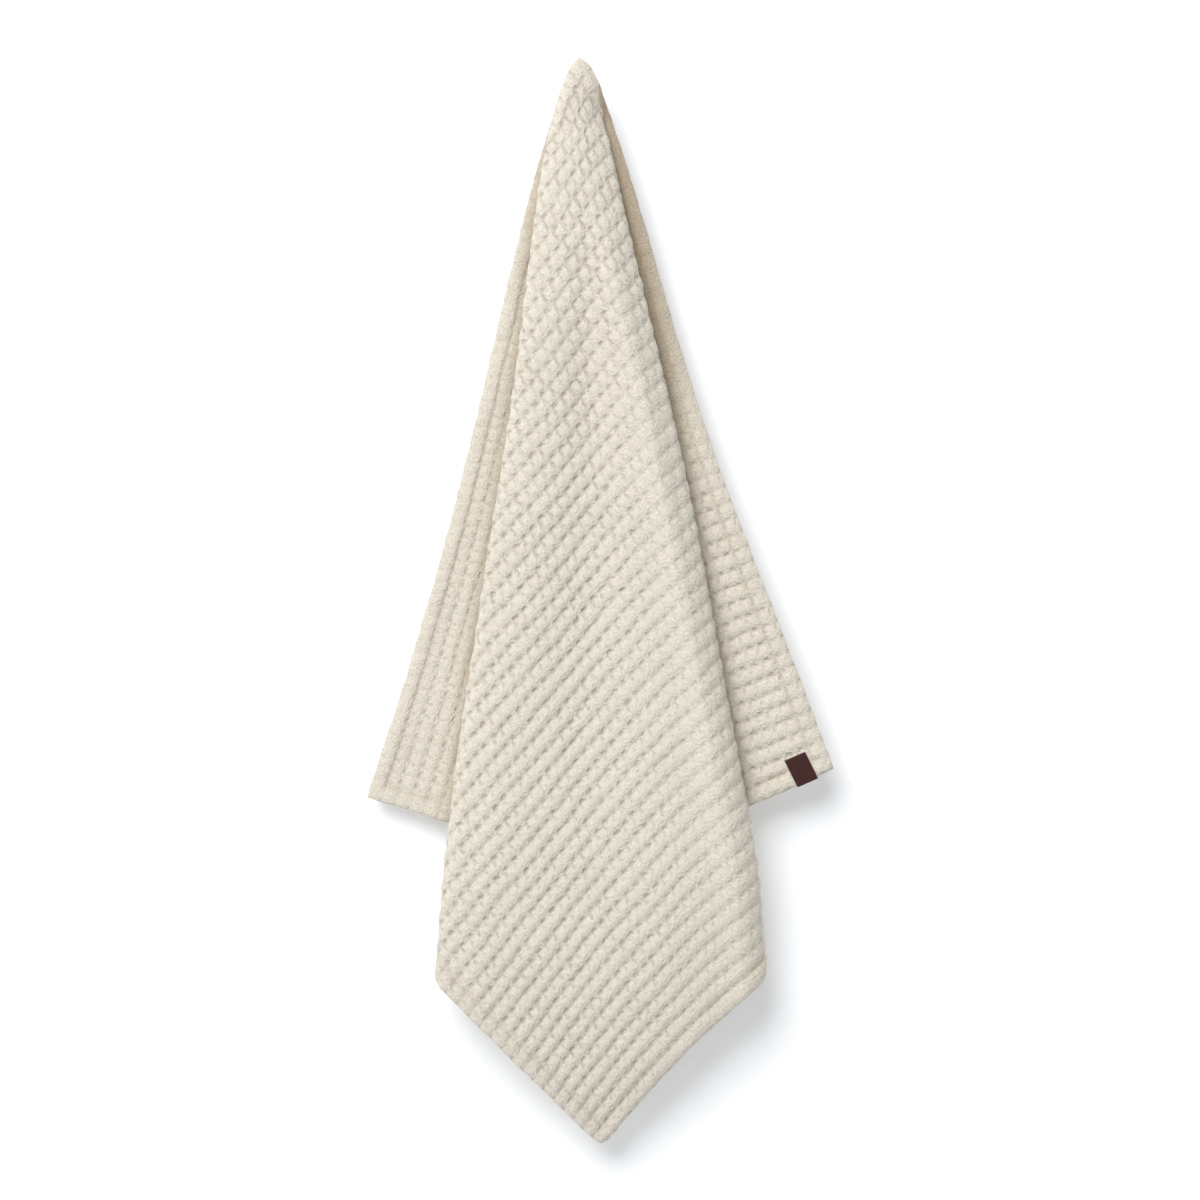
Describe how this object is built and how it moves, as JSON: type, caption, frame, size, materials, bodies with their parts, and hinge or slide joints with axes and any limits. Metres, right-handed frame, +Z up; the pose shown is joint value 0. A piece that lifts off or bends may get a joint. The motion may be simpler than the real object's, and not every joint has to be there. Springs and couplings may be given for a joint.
{
  "type": "waffle bath towel hung by one corner",
  "caption": "Near-square waffle-weave cloth hung by one corner, its front panel folded over two wings, with a leather label folded round a lower hem.",
  "frame": {"origin": "the hung corner of the cloth, where a hook would hold it", "axes": "+Z up; -Y out of the front panel, towards the viewer; +X to the viewer's right"},
  "size_m": [0.4497, 0.0572, 1.0451],
  "materials": {
    "cloth": "matte cream waffle weave",
    "label": "smooth dark brown"
  },
  "bodies": {
    "root": {"towel": "cloth", "label": "label"}
  },
  "joints": []
}
